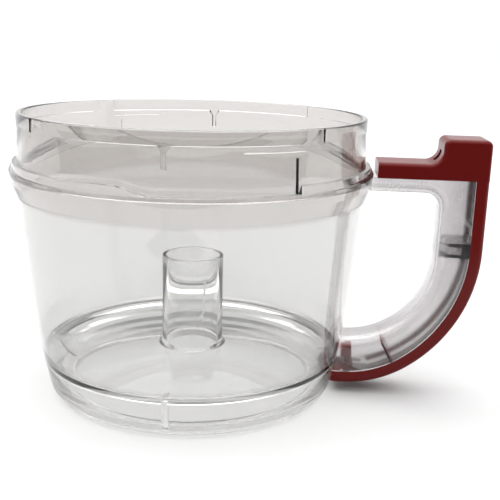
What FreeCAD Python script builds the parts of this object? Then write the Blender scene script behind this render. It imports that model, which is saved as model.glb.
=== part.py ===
"""Work bowl of a food processor, with its handle and lid interlock.

A clear conical bowl with a raised floor, a central drive tube and a bayonet collar carries a
hollow D handle. The handle is a clear channel closed by a red cover and a red back strip. Inside
it a slider, pushed by the tongue of the lid, drives two push rods, and these press a switch pin
out of the foot of the handle.

The origin is on the bowl's axis, in the plane of its bottom rim. +Z is up and +X points along the
handle. All sizes are in millimetres and degrees, and live in the spreadsheet "sizes".
"""
import FreeCAD, Part
import Sketcher
import math
import os
import re
from FreeCAD import Placement, Rotation, Vector

doc = FreeCAD.newDocument("work_bowl_with_handle")

SIZES = {
    # bowl: rim, collar and flange
    "rim_height": 174.0,
    "shoulder_radius": 106.0,
    "rim_inset": 1.0,
    "rim_wall": 2.6,
    "collar_height": 28.5,
    "collar_step": 0.5,
    "ledge_step": 3.0,
    "flange_drop": 4.5,
    "flange_step": 5.3,
    "bevel_drop": 6.6,
    "bevel_step": 4.3,
    "flange_foot_drop": 8.9,
    "flange_foot_step": 1.0,
    "shoulder_drop": 9.5,
    # bowl: wall, floor and foot
    "wall": 2.6,
    "wall_bow_radius": 800.0,
    "foot_radius": 83.0,
    "heel_round": 9.0,
    "heel_lean": 9.0,
    "floor_height": 26.3,
    "floor_flare": 10.6,
    "under_floor_step": 0.6,
    "floor_thickness": 3.0,
    "socket_lip": 3.0,
    "socket_depth": 5.0,
    "skirt_throat_step": 3.0,
    "skirt_heel_height": 10.0,
    # bowl: drive tube
    "tube_radius": 19.5,
    "tube_wall": 2.5,
    "tube_height": 84.8,
    "tube_foot_chamfer": 2.0,
    # overlap that joins two touching pieces of one moulding
    "lap": 0.1,
    # bowl: bands and ribs of the collar, ribs of the skirt
    "band_sweep": 83.0,
    "band_height": 7.7,
    "band_proud": 0.9,
    "guide_rib_angle": 90.0,
    "guide_rib_sweep": 1.3,
    "guide_rib_rise": 9.2,
    "guide_rib_funnel_height": 2.1,
    "guide_rib_funnel_sweep": 4.0,
    "guide_rib_proud": 0.7,
    "stop_rib_angle": 128.5,
    "stop_rib_sweep": 1.1,
    "stop_rib_rise": 14.2,
    "stop_rib_proud": 1.8,
    "window_sweep": 42.0,
    "window_sill": 0.3,
    "skirt_rib_count": 4,
    "skirt_rib_angle": 88.7,
    "skirt_rib_sweep": 2.0,
    "skirt_rib_step": 0.5,
    # handle: its width, the back curve and the seam of the strip
    "handle_width": 28.0,
    "handle_reach": 68.1,
    "shell_wall": 2.2,
    "back_knee": 96.0,
    "bend_reach": 80.4,
    "back_low": 6.3,
    "back_toe_round": 70.0,
    "strip_depth": 8.0,
    "strip_edge_round": 3.2,
    "tail_cut": 5.5,
    # handle: finger side
    "grip_depth": 27.8,
    "palm_knee": 90.0,
    "palm_toe_step": 1.0,
    "palm_low": 36.5,
    "palm_toe_round": 48.0,
    "palm_corner_round": 9.0,
    "palm_edge_round": 7.0,
    "arm_depth": 9.0,
    # handle: red cover with its block
    "seam_drop": 1.3,
    "cover_gap": 1.7,
    "cover_height": 9.3,
    "cover_edge_round": 2.6,
    "block_length": 28.4,
    "block_rise": 15.0,
    "block_round": 4.0,
    "least_round": 0.5,
    "block_sweep_round": 8.0,
    "slot_rise": 1.0,
    "slot_height": 6.4,
    "slot_width": 6.6,
    # interlock: slider and its track
    "travel": 6.0,
    "play": 0.3,
    "running_play": 0.08,
    "slider_width": 6.0,
    "slider_inset": 1.2,
    "track_gap": 0.8,
    "track_floor": 2.4,
    "track_roof": 2.2,
    "screw_radius": 1.4,
    "screw_head_radius": 2.7,
    "screw_head_height": 1.6,
    "screw_edge": 4.0,
    "boss_radius": 2.9,
    # interlock: rods, spring and guides
    "rod_gap": 2.9,
    "rod_radius": 1.8,
    "rod_head_lead": 0.8,
    "rod_head_thickness": 3.6,
    "rod_head_lip": 0.2,
    "rod_split_rise": 8.1,
    "arc_rod_thickness": 3.2,
    "arc_rod_width": 6.0,
    "arc_rod_top_angle": 5.0,
    "arc_rod_end_step": 10.5,
    "finger_step": 2.0,
    "finger_width": 10.0,
    "finger_fork": 5.2,
    "finger_height": 2.9,
    "spring_wire": 0.25,
    "spring_radius": 2.35,
    "spring_turns": 11,
    "washer_radius": 2.6,
    "washer_thickness": 1.0,
    "upper_guide_step": 4.9,
    "guide_thickness": 3.0,
    "middle_guide_drop": 4.0,
    "middle_guide_height": 9.0,
    "lower_guide_angle": 61.5,
    "lower_guide_thickness": 1.6,
    "lower_guide_height": 17.5,
    # interlock: switch pin and its bush
    "pin_step": 2.5,
    "pin_radius": 2.0,
    "pin_travel": 3.5,
    "pin_shoulder_gap": 1.0,
    "pin_shoulder_back": 2.5,
    "pin_shoulder_front": 6.5,
    "pin_head_rise": 9.0,
    "pin_head_height": 7.0,
    "pin_head_back": 4.1,
    "pin_head_front": 2.5,
    "pin_head_width": 14.0,
    "pin_head_slant_height": 2.7,
    "pin_head_slant_length": 3.8,
    "bush_radius": 4.0,
    "bush_height": 2.5,
}

# places that follow from the driving sizes
PLACES = {
    "rim_radius": "shoulder_radius - rim_inset",
    "collar_radius": "shoulder_radius + collar_step",
    "ledge_radius": "shoulder_radius + ledge_step",
    "flange_radius": "shoulder_radius + flange_step",
    "bevel_radius": "shoulder_radius + bevel_step",
    "flange_foot_radius": "shoulder_radius + flange_foot_step",
    "ledge_height": "rim_height - collar_height",
    "flange_height": "ledge_height - flange_drop",
    "bevel_height": "flange_height - bevel_drop",
    "flange_foot_height": "bevel_height - flange_foot_drop",
    "shoulder_height": "flange_foot_height - shoulder_drop",
    # the rounded heel starts level at the foot and ends in line with the leaning wall
    "heel_radius": "foot_radius + heel_round * cos(heel_lean)",
    "heel_height": "heel_round * (1 - sin(heel_lean))",
    "floor_radius": "foot_radius + floor_flare",
    "socket_radius": "foot_radius - socket_lip",
    "skirt_throat_radius": "foot_radius + skirt_throat_step",
    "skirt_rib_reach": "foot_radius + skirt_rib_step",
    "band_bottom": "rim_height - band_height",
    "guide_rib_bottom": "ledge_height + guide_rib_rise",
    "guide_rib_funnel": "band_bottom - guide_rib_funnel_height",
    "window_bottom": "flange_height + window_sill",
    "stop_rib_top": "ledge_height + stop_rib_rise",
    "back_reach": "flange_radius + handle_reach",
    "back_toe": "back_reach - bend_reach",
    "palm_reach": "back_reach - grip_depth",
    "palm_toe": "back_toe + palm_toe_step",
    "cover_bottom": "flange_height - seam_drop",
    "arm_underside": "cover_bottom - arm_depth",
    "cover_start": "flange_radius + cover_gap",
    "cover_top": "cover_bottom + cover_height",
    "block_top": "cover_top + block_rise",
    "block_face": "back_reach - block_length",
    "slot_bottom": "cover_top + slot_rise",
    "slider_start": "block_face + shell_wall + slider_inset",
    "slider_tip": "back_reach - shell_wall - travel - 2 * play",
    "slider_bottom": "slot_bottom + play",
    "slider_top": "slot_bottom + slot_height - play",
    "rod_head_start": "slider_tip - slot_height + 2 * play - rod_head_lead",
    "track_end": "rod_head_start - track_gap",
    "screw_place": "(block_face + shell_wall + track_end) / 2",
    "screw_spread": "handle_width - 2 * shell_wall - 2 * screw_edge",
    "rod_inset": "shell_wall + rod_gap",
    "rod_axis": "back_reach - rod_inset",
    "rod_split": "back_knee + rod_split_rise",
    "upper_guide_bottom": "rod_split + upper_guide_step",
    "middle_guide_bottom": "back_knee - middle_guide_drop",
    "pin_place": "back_toe + pin_step",
    "arc_rod_end": "pin_place + arc_rod_end_step",
    "finger_reach": "pin_place + pin_radius + finger_step",
    "pin_shoulder_bottom": "back_low + shell_wall + pin_travel + pin_shoulder_gap",
    "pin_head_bottom": "pin_shoulder_bottom + pin_head_rise",
}

sheet = doc.addObject("Spreadsheet::Sheet", "sizes")
for row, (alias, value) in enumerate(SIZES.items(), start=1):
    sheet.set(f"A{row}", alias)
    sheet.set(f"B{row}", str(value))
    sheet.setAlias(f"B{row}", alias)
doc.recompute()

parts = {}


def size(text):
    """Value of a sum of names, such as "rim_radius - rim_wall"."""
    value = sheet.evalExpression(link(text))
    return float(getattr(value, "Value", value))


def link(text):
    """The same sum as an expression: a place is spelled out, a size becomes sizes.name."""
    def spell(word):
        if word[0] in PLACES:
            return f"({link(PLACES[word[0]])})"
        return "sizes." * (word[0] in SIZES) + word[0]

    return re.sub("[a-z_]+", spell, text)


def sub_part(label, thing):
    """Register one physical piece: its label names its file."""
    thing.Label = label
    parts[label] = thing
    return thing


def shaped(label, shape):
    """A sub-part whose curved form is worked out here from the sheet's values."""
    thing = doc.addObject("Part::Feature", label)
    thing.Shape = shape
    thing.Placement = shape.Placement
    return sub_part(label, thing)


# ---------------------------------------------------------------- sketches and solid helpers

def origin_feature(body, role):
    return next(item for item in body.Origin.OriginFeatures if item.Role == role)


def arc_between(start, end, radius):
    """Arc from start to end; a positive radius bulges to the right of the way it is drawn."""
    chord = end - start
    left = Vector(-chord.y, chord.x, 0).normalize()
    reach = math.sqrt(radius ** 2 - (chord.Length / 2) ** 2)
    centre = (start + end) * 0.5 + left * math.copysign(reach, radius)
    first, last = (start, end) if radius > 0 else (end, start)
    low = math.atan2(first.y - centre.y, first.x - centre.x)
    high = math.atan2(last.y - centre.y, last.x - centre.x)
    if high < low:
        high += 2 * math.pi
    return Part.ArcOfCircle(Part.Circle(centre, Vector(0, 0, 1), abs(radius)), low, high)


def outline(body, name, corners, arcs=None, turn=None):
    """Closed sketch in the body's XZ plane, each corner and arc tied to the sheet.

    corners holds pairs of sums; arcs gives the radius of the segment that leaves a corner, as a
    sum and a sign; turn is the angle about Z at which the sketch stands.
    """
    sketch = body.newObject("Sketcher::SketchObject", name)
    sketch.AttachmentSupport = [(origin_feature(body, "XZ_Plane"), "")]
    sketch.MapMode = "FlatFace"
    if turn is not None:
        sketch.AttachmentOffset = Placement(Vector(), Rotation(Vector(0, 1, 0), turn))
    arcs = arcs or {}
    points = [Vector(size(x), size(z), 0) for x, z in corners]
    ends = []
    for index, start in enumerate(points):
        end = points[(index + 1) % len(points)]
        if index in arcs:
            radius, sign = arcs[index]
            curve = arc_between(start, end, sign * size(radius))
            edge = sketch.addGeometry(curve)
            forward = curve.StartPoint.distanceToPoint(start) < 1e-6
            ends.append((edge, 1, 2) if forward else (edge, 2, 1))
            number = sketch.addConstraint(Sketcher.Constraint("Radius", edge, size(radius)))
            sketch.setExpression(f"Constraints[{number}]", link(radius))
        else:
            edge = sketch.addGeometry(Part.LineSegment(start, end))
            ends.append((edge, 1, 2))
    for index, (x_sum, z_sum) in enumerate(corners):
        edge, first, _ = ends[index]
        before, _, last = ends[index - 1]
        sketch.addConstraint(Sketcher.Constraint("Coincident", before, last, edge, first))
        for kind, text in (("DistanceX", x_sum), ("DistanceY", z_sum)):
            tie = Sketcher.Constraint(kind, -1, 1, edge, first, size(text))
            number = sketch.addConstraint(tie)
            sketch.setExpression(f"Constraints[{number}]", link(text))
    return sketch


def revolve(body, name, sketch, sweep=None, cut=False):
    """Turn a sketch about the vertical axis: all round, or through a sweep centred on it."""
    kind = "PartDesign::Groove" if cut else "PartDesign::Revolution"
    feature = body.newObject(kind, name)
    feature.Profile = sketch
    feature.ReferenceAxis = (sketch, ["V_Axis"])
    if sweep is None:
        feature.Angle = 360
    else:
        feature.Midplane = True
        feature.setExpression("Angle", link(sweep))
    sketch.Visibility = False
    return feature


def pad(body, name, sketch, width):
    """Thicken a sketch to both sides of the handle's middle plane."""
    feature = body.newObject("PartDesign::Pad", name)
    feature.Profile = sketch
    feature.SideType = "Symmetric"
    feature.setExpression("Length", link(width))
    return feature


def box(name, x, y, z, place):
    """Part::Box of three bound sizes, with its low corner at three bound places."""
    thing = doc.addObject("Part::Box", name)
    for key, text in zip(("Length", "Width", "Height"), (x, y, z)):
        thing.setExpression(key, link(text))
    for axis, text in zip("xyz", place):
        thing.setExpression(f"Placement.Base.{axis}", link(text))
    return thing


def upright(name, radius, height, place):
    """Part::Cylinder standing at a bound place."""
    thing = doc.addObject("Part::Cylinder", name)
    thing.setExpression("Radius", link(radius))
    thing.setExpression("Height", link(height))
    for axis, text in zip("xyz", place):
        thing.setExpression(f"Placement.Base.{axis}", link(text))
    return thing


def fuse(label, *things):
    whole = doc.addObject("Part::MultiFuse", label)
    whole.Shapes = list(things)
    return whole


def cut(label, base, tool):
    rest = doc.addObject("Part::Cut", label)
    rest.Base = base
    rest.Tool = tool
    return rest


# ---------------------------------------------------------------- the bowl moulding


def make_work_bowl():
    """One clear moulding: foot, skirt, wall, floor, drive tube, flange and bayonet collar."""
    body = doc.addObject("PartDesign::Body", "bowl_moulding")
    inner_skirt = "heel_radius - wall"
    under_floor = "floor_height - floor_thickness"
    corners = [
        ("foot_radius", "0"),
        ("heel_radius", "heel_height"),
        ("shoulder_radius", "shoulder_height"),
        ("flange_foot_radius", "flange_foot_height"),
        ("bevel_radius", "bevel_height"),
        ("flange_radius", "flange_height"),
        ("ledge_radius", "ledge_height"),
        ("collar_radius", "ledge_height"),
        ("rim_radius", "rim_height"),
        ("rim_radius - rim_wall", "rim_height"),
        ("collar_radius - rim_wall", "ledge_height"),
        ("shoulder_radius - wall", "shoulder_height"),
        ("floor_radius", "floor_height"),
        ("tube_radius + tube_foot_chamfer", "floor_height"),
        ("tube_radius", "floor_height + tube_foot_chamfer"),
        ("tube_radius", "tube_height"),
        ("tube_radius - tube_wall", "tube_height"),
        ("tube_radius - tube_wall", under_floor),
        ("floor_radius - under_floor_step", under_floor),
        (inner_skirt, "skirt_heel_height"),
        ("skirt_throat_radius", "socket_depth"),
        ("socket_radius", "socket_depth"),
        ("socket_radius", "0"),
    ]
    arcs = {
        0: ("heel_round", 1),
        1: ("wall_bow_radius", 1),
        11: ("wall_bow_radius", -1),
    }
    revolve(body, "bowl_profile", outline(body, "bowl_section", corners, arcs))

    def ring_piece(name, low, high, inside, outside, turn, sweep, is_cut=False):
        """Short piece of ring on the bowl, from a rectangle of radii and heights."""
        loop = [(inside, low), (outside, low), (outside, high), (inside, high)]
        sketch = outline(body, name + "_section", loop, turn=turn)
        return revolve(body, name, sketch, sweep, is_cut)

    band_outer = "rim_radius + band_proud"
    rib_outer = "collar_radius + guide_rib_proud"
    inside_wall = "rim_radius - band_proud"
    for index in range(4):
        ring_piece(f"rim_band_{index}", "band_bottom", "rim_height", inside_wall, band_outer,
                   90 * index, "band_sweep")
    for index, side in enumerate((-1, 1)):
        turn = side * size("guide_rib_angle")
        ring_piece(f"guide_rib_{index}", "guide_rib_bottom", "guide_rib_funnel + lap", inside_wall,
                   rib_outer, turn, "guide_rib_sweep")
        ring_piece(f"guide_funnel_{index}", "guide_rib_funnel", "band_bottom + lap", inside_wall,
                   rib_outer, turn, "guide_rib_funnel_sweep")
    for index, half_turn in enumerate((0, -180)):
        rib_turn = size("stop_rib_angle") + half_turn
        window_turn = rib_turn - size("window_sweep + stop_rib_sweep") / 2
        ring_piece(f"lug_window_{index}", "window_bottom", "ledge_height + wall", "collar_radius",
                   "flange_radius + wall", window_turn, "window_sweep", True)
        ring_piece(f"stop_rib_{index}", "flange_height", "stop_rib_top", inside_wall,
                   "collar_radius + stop_rib_proud", rib_turn, "stop_rib_sweep")
    ribs = int(size("skirt_rib_count"))
    for index in range(ribs):
        ring_piece(f"skirt_rib_{index}", "socket_depth - lap", "floor_height - floor_thickness + lap",
                   "skirt_rib_reach", "heel_radius - wall / 2",
                   size("skirt_rib_angle") + 360 * index / ribs, "skirt_rib_sweep")
    return sub_part("work_bowl", body)


def bowl_envelope():
    """Everything inside the bowl's outer surface, used to fit the handle to the wall."""
    def at(x, z):
        return Vector(size(x), 0, size(z))

    def arc(start, end, radius):
        flat = arc_between(Vector(start.x, start.z, 0), Vector(end.x, end.z, 0), radius)
        middle = flat.value((flat.FirstParameter + flat.LastParameter) / 2)
        return Part.Arc(start, Vector(middle.x, 0, middle.y), end).toShape()

    foot = at("foot_radius", "0")
    heel = at("heel_radius", "heel_height")
    shoulder = at("shoulder_radius", "shoulder_height")
    ring = [
        shoulder,
        at("flange_foot_radius", "flange_foot_height"),
        at("bevel_radius", "bevel_height"),
        at("flange_radius", "flange_height"),
        at("ledge_radius", "ledge_height"),
        at("collar_radius", "ledge_height"),
        at("rim_radius", "rim_height"),
        Vector(0, 0, size("rim_height")),
        Vector(0, 0, 0),
        foot,
    ]
    edges = [arc(foot, heel, size("heel_round")), arc(heel, shoulder, size("wall_bow_radius"))]
    edges += [Part.LineSegment(a, b).toShape() for a, b in zip(ring, ring[1:])]
    face = Part.Face(Part.Wire(edges))
    return face.revolve(Vector(0, 0, 0), Vector(0, 0, 1), 360)


# ---------------------------------------------------------------- the handle's curves

def bend(name, inward=0.0):
    """The quarter bend of the back or of the palm side, as two tangent arcs.

    It runs from its upright stretch (reach, knee) to its level stretch (toe, low). inward moves
    it towards the middle of the D.
    """
    reach = size(name + "_reach") - inward
    knee = size(name + "_knee")
    toe = size(name + "_toe")
    low = size(name + "_low") + inward
    toe_round = size(name + "_toe_round") - inward
    wide = reach - toe
    tall = knee - low
    side_round = (wide ** 2 + tall ** 2 - 2 * tall * toe_round) / (2 * (wide - toe_round))
    side_centre = Vector(reach - side_round, 0, knee)
    toe_centre = Vector(toe, 0, low + toe_round)
    way = (toe_centre - side_centre) * (1 / (side_round - toe_round))
    meet_angle = math.atan2(way.z, way.x)

    def on(centre, radius, angle):
        return centre + Vector(radius * math.cos(angle), 0, radius * math.sin(angle))

    top = Vector(reach, 0, knee)
    meet = on(toe_centre, toe_round, meet_angle)
    end = Vector(toe, 0, low)
    return [
        Part.Arc(top, on(side_centre, side_round, meet_angle / 2), meet).toShape(),
        Part.Arc(meet, on(toe_centre, toe_round, (meet_angle - math.pi / 2) / 2), end).toShape(),
    ]


def chain(*points):
    """Straight edges through a run of (x, z) points."""
    spots = [Vector(x, 0, z) for x, z in points]
    return [Part.LineSegment(a, b).toShape() for a, b in zip(spots, spots[1:])]


def prism(edges, width):
    """Solid of the closed XZ outline, width wide about the middle plane."""
    face = Part.Face(Part.Wire(Part.sortEdges(edges)[0]))
    return face.extrude(Vector(0, width, 0)).translated(Vector(0, -width / 2, 0))


def edges_along(solid, guide, width):
    """The solid's edges that follow a guide curve on both of its side faces."""
    found = []
    for edge in solid.Edges:
        middle = edge.valueAt((edge.FirstParameter + edge.LastParameter) / 2)
        on_side = abs(abs(middle.y) - width / 2) < 1e-4
        flat = Part.Vertex(Vector(middle.x, 0, middle.z))
        if on_side and guide.distToShape(flat)[0] < 1e-4:
            found.append(edge)
    return found


def palm_line(inward=0.0):
    """Finger side of the clear channel, from the wall under the arm round to the wall again."""
    reach = size("palm_reach") - inward
    under = size("arm_underside") - inward
    corner = size("palm_corner_round") - inward
    inner = size("shoulder_radius") / 2
    half = corner * math.sqrt(0.5)
    centre_x = size("palm_reach - palm_corner_round")
    centre_z = size("arm_underside - palm_corner_round")
    arc = Part.Arc(Vector(centre_x, 0, under), Vector(centre_x + half, 0, centre_z + half),
                   Vector(reach, 0, centre_z)).toShape()
    edges = chain((inner, under), (centre_x, under)) + [arc]
    edges += chain((reach, centre_z), (reach, size("palm_knee")))
    edges += bend("palm", inward)
    edges += chain((size("palm_toe"), size("palm_low") + inward), (inner, size("palm_low") + inward))
    return edges


def make_handle_grip(envelope):
    """Clear channel of the handle, open at its back and on top, welded to the bowl's wall."""
    width = size("handle_width")
    wall = size("shell_wall")
    inner = size("shoulder_radius") / 2
    top = size("cover_bottom")
    seam = size("strip_depth")
    seam_x = size("back_reach") - seam
    low = size("back_low") + seam
    edges = palm_line() + chain((inner, size("arm_underside")), (inner, top), (seam_x, top),
                                (seam_x, size("back_knee")))
    edges += bend("back", seam)
    edges += chain((size("back_toe"), low), (inner, low), (inner, size("palm_low")))
    outer = prism(edges, width)
    guide = Part.Wire(Part.sortEdges(palm_line())[0])
    outer = outer.makeFillet(size("palm_edge_round"), edges_along(outer, guide, width))

    far_x = size("back_reach + strip_depth")
    far_low = low - 3 * seam
    loop = chain((inner, size("arm_underside") + wall), (inner, top + wall), (far_x, top + wall),
                 (far_x, far_low), (inner, far_low), (inner, size("palm_low") - wall))
    hollow = prism(palm_line(-wall) + loop, width - 2 * wall)
    guide = Part.Wire(Part.sortEdges(palm_line(-wall))[0])
    rounded = edges_along(hollow, guide, width - 2 * wall)
    hollow = hollow.makeFillet(size("palm_edge_round") - wall, rounded)
    return shaped("handle_grip", outer.cut(hollow).cut(envelope))


def make_back_strip(envelope):
    """Red strip of U section that closes the back of the channel down to the bowl's foot."""
    width = size("handle_width")
    wall = size("shell_wall")
    seam = size("strip_depth")
    inner = size("shoulder_radius") / 2
    reach = size("back_reach")
    low = size("back_low")
    knee = size("back_knee")
    toe = size("back_toe")
    top = size("cover_bottom")
    back = chain((reach, top), (reach, knee)) + bend("back") + chain((toe, low), (inner, low))
    front = chain((reach - seam, top), (reach - seam, knee)) + bend("back", seam)
    front += chain((toe, low + seam), (inner, low + seam))
    ends = chain((reach, top), (reach - seam, top)) + chain((inner, low), (inner, low + seam))
    outer = prism(back + front + ends, width)
    guide = Part.Wire(Part.sortEdges(back)[0])
    outer = outer.makeFillet(size("strip_edge_round"), edges_along(outer, guide, width))

    inside = chain((reach - wall, top), (reach - wall, knee)) + bend("back", wall)
    inside += chain((toe, low + wall), (inner, low + wall))
    past = chain((reach - wall, top), (reach - 2 * seam, top), (reach - 2 * seam, knee))
    past += bend("back", 2 * seam)
    past += chain((toe, low + 2 * seam), (inner, low + 2 * seam), (inner, low + wall))
    hollow = prism(inside + past, width - 2 * wall)
    tail = Part.makeCylinder(size("bush_radius"), 2 * seam, Vector(size("pin_place"), 0, low - wall))
    strip = outer.cut(hollow).cut(envelope).cut(tail)
    corner = size("back_toe") - size("tail_cut")
    nip = prism(chain((corner, low), (inner, low), (inner, low + size("tail_cut")), (corner, low)),
                2 * width)
    return shaped("back_strip", strip.cut(nip))


def cover_edges(inset):
    """Outline of the cover and its block above the seam, moved inwards by inset."""
    bottom = size("cover_bottom")
    start = size("cover_start") + inset
    top = size("cover_top") - inset
    face = size("block_face") + inset
    sweep = size("block_sweep_round")
    centre = Vector(size("block_face") - sweep, 0, size("cover_top") + sweep)
    bow = sweep + inset
    roof = size("block_top") - inset
    back = size("back_reach") - inset
    corner = max(size("block_round") - inset, size("least_round"))
    nick = corner * (1 - math.sqrt(0.5))
    root = math.sqrt(0.5)
    edges = chain((start, bottom), (start, top), (centre.x, top))
    edges.append(Part.Arc(Vector(centre.x, 0, top), centre + Vector(bow * root, 0, -bow * root),
                          Vector(face, 0, centre.z)).toShape())
    edges += chain((face, centre.z), (face, roof - corner))
    edges.append(Part.Arc(Vector(face, 0, roof - corner), Vector(face + nick, 0, roof - nick),
                          Vector(face + corner, 0, roof)).toShape())
    edges += chain((face + corner, roof), (back - corner, roof))
    edges.append(Part.Arc(Vector(back - corner, 0, roof), Vector(back - nick, 0, roof - nick),
                          Vector(back, 0, roof - corner)).toShape())
    edges += chain((back, roof - corner), (back, bottom))
    return edges


def make_handle_cover(envelope):
    """Red cover of the arm with its raised block, slotted for the tongue of the lid."""
    width = size("handle_width")
    wall = size("shell_wall")
    bottom = size("cover_bottom")
    skin = cover_edges(0)
    outer = prism(skin + chain((size("cover_start"), bottom), (size("back_reach"), bottom)), width)
    guide = Part.Wire(Part.sortEdges(skin[1:])[0])
    outer = outer.makeFillet(size("cover_edge_round"), edges_along(outer, guide, width))
    lining = cover_edges(wall)
    mouth = chain((size("cover_start") + wall, bottom), (size("back_reach") - wall, bottom))
    hollow = prism(lining + mouth, width - 2 * wall)
    slot_width = size("slot_width")
    slot = Part.makeBox(4 * wall, slot_width, size("slot_height"),
                        Vector(size("block_face") - 3 * wall, -slot_width / 2, size("slot_bottom")))
    cover = outer.cut(hollow).cut(slot).cut(envelope)
    roof = size("block_top") - wall
    track_top = size("slot_bottom + slot_height + track_roof")
    for side in (-1, 1):
        spot = Vector(size("screw_place"), side * size("screw_spread") / 2, track_top)
        boss = Part.makeCylinder(size("boss_radius"), roof - track_top, spot)
        bore = Part.makeCylinder(size("screw_radius"), roof - track_top, spot)
        cover = cover.fuse(boss).cut(bore)
    return shaped("handle_cover", cover)


# ---------------------------------------------------------------- the interlock in the handle

def make_slider_track():
    """White bearing block that guides the slider behind the slot of the cover."""
    body = box("track_block", "track_end - block_face - shell_wall",
               "handle_width - 2 * shell_wall",
               "slot_height + track_floor + track_roof",
               ("block_face + shell_wall", "shell_wall - handle_width / 2",
                "slot_bottom - track_floor"))
    tunnel = box("track_tunnel", "track_end - block_face", "slot_width", "slot_height",
                 ("block_face + shell_wall / 2", "0 - slot_width / 2", "slot_bottom"))
    block = cut("track_with_tunnel", body, tunnel)
    holes = []
    for index, side in enumerate("-+"):
        hole = upright(f"track_hole_{index}", "screw_radius",
                       "track_floor + slot_height + 3 * track_roof",
                       ("screw_place", f"0 {side} screw_spread / 2",
                        "slot_bottom - track_floor - track_roof"))
        holes.append(hole)
    return sub_part("slider_track", cut("slider_track", block, fuse("track_holes", *holes)))


def make_track_screws():
    """Two self-tapping screws that hold the track up against the bosses of the cover."""
    screws = []
    for index, side in enumerate("-+"):
        place = ("screw_place", f"0 {side} screw_spread / 2")
        shank = upright(f"screw_shank_{index}", "screw_radius",
                        "block_top - shell_wall - slot_bottom + track_floor - play",
                        place + ("slot_bottom - track_floor",))
        head = upright(f"screw_head_{index}", "screw_head_radius", "screw_head_height",
                       place + ("slot_bottom - track_floor - screw_head_height",))
        screws += [shank, head]
    return sub_part("track_screws", fuse("track_screws", *screws))


def make_interlock_slider():
    """Slider behind the slot, with a wedge of 45 degrees at its inner end."""
    body = doc.addObject("PartDesign::Body", "slider_body")
    corners = [
        ("slider_start", "slider_bottom"),
        ("slider_tip + slider_bottom - slider_top", "slider_bottom"),
        ("slider_tip", "slider_top"),
        ("slider_start", "slider_top"),
    ]
    pad(body, "slider_pad", outline(body, "slider_section", corners), "slider_width")
    return sub_part("interlock_slider", body)


def make_upper_push_rod():
    """Upright rod whose head carries the wedge face that the slider pushes down."""
    body = doc.addObject("PartDesign::Body", "rod_head_body")
    # the wedge face lies one play below the slider's, measured square to both
    drop = "( slider_tip - slot_bottom - slot_height + play + play * sqrt(2) )"
    head_low = f"rod_head_start - {drop} - rod_head_thickness"
    head_top = "slider_top + rod_head_lip"
    corners = [
        ("rod_head_start", head_low),
        ("rod_axis + rod_radius", head_low),
        ("rod_axis + rod_radius", head_top),
        (f"{head_top} + {drop}", head_top),
        ("rod_head_start", f"rod_head_start - {drop}"),
    ]
    pad(body, "rod_head_pad", outline(body, "rod_head_section", corners), "slider_width")
    rod = upright("rod_shaft", "rod_radius", f"{head_low} - rod_split + rod_radius",
                  ("rod_axis", "0", "rod_split"))
    washer_low = f"{head_low} - washer_thickness"
    disc = upright("washer_disc", "washer_radius", "washer_thickness", ("rod_axis", "0", washer_low))
    eye = upright("washer_eye", "rod_radius", "washer_thickness", ("rod_axis", "0", washer_low))
    sub_part("spring_washer", cut("spring_washer", disc, eye))
    return sub_part("upper_push_rod", fuse("upper_push_rod", body, rod)), size(washer_low)


def make_rod_spring(top):
    """Return spring, a wound wire between the upper guide and the washer under the rod's head."""
    wire = size("spring_wire")
    radius = size("spring_radius")
    bottom = size("upper_guide_bottom + guide_thickness") + wire
    tall = top - wire - bottom
    helix = Part.makeHelix(tall / size("spring_turns"), tall, radius)
    section = Part.Wire(Part.makeCircle(wire, Vector(radius, 0, 0), Vector(0, 1, 0)))
    coil = Part.Wire(helix.Edges).makePipeShell([section], True, True)
    coil.translate(Vector(size("rod_axis"), 0, bottom))
    return shaped("rod_spring", coil)


def rod_circle():
    """Centre and radius of the arc that the lower rod lies on and turns about."""
    inset = size("rod_inset")
    wide = size("back_reach - back_toe") - inset
    tall = size("back_knee - back_low") - inset
    radius = (wide ** 2 + tall ** 2) / (2 * wide)
    return Vector(size("back_reach") - inset - radius, 0, size("back_knee")), radius


def ring_sector(centre, inside, outside, low_angle, high_angle, width):
    """Piece of flat ring in the handle's middle plane, between two angles in degrees."""
    def at(radius, angle):
        turn = math.radians(angle)
        return centre + Vector(radius * math.cos(turn), 0, radius * math.sin(turn))

    middle = (low_angle + high_angle) / 2
    edges = [
        Part.Arc(at(inside, low_angle), at(inside, middle), at(inside, high_angle)).toShape(),
        Part.Arc(at(outside, low_angle), at(outside, middle), at(outside, high_angle)).toShape(),
        Part.LineSegment(at(inside, low_angle), at(outside, low_angle)).toShape(),
        Part.LineSegment(at(inside, high_angle), at(outside, high_angle)).toShape(),
    ]
    return prism(edges, width)


def ramp_slope():
    """Rise of the pin's ramp towards the bowl, from the travel of the rod's end and the pin."""
    centre, radius = rod_circle()
    start = math.acos((size("arc_rod_end") - centre.x) / radius)
    end = start + size("travel") / radius
    run = radius * (math.cos(start) - math.cos(end))
    fall = radius * (math.sin(end) - math.sin(start))
    return (size("pin_travel") - fall) / run


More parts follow.
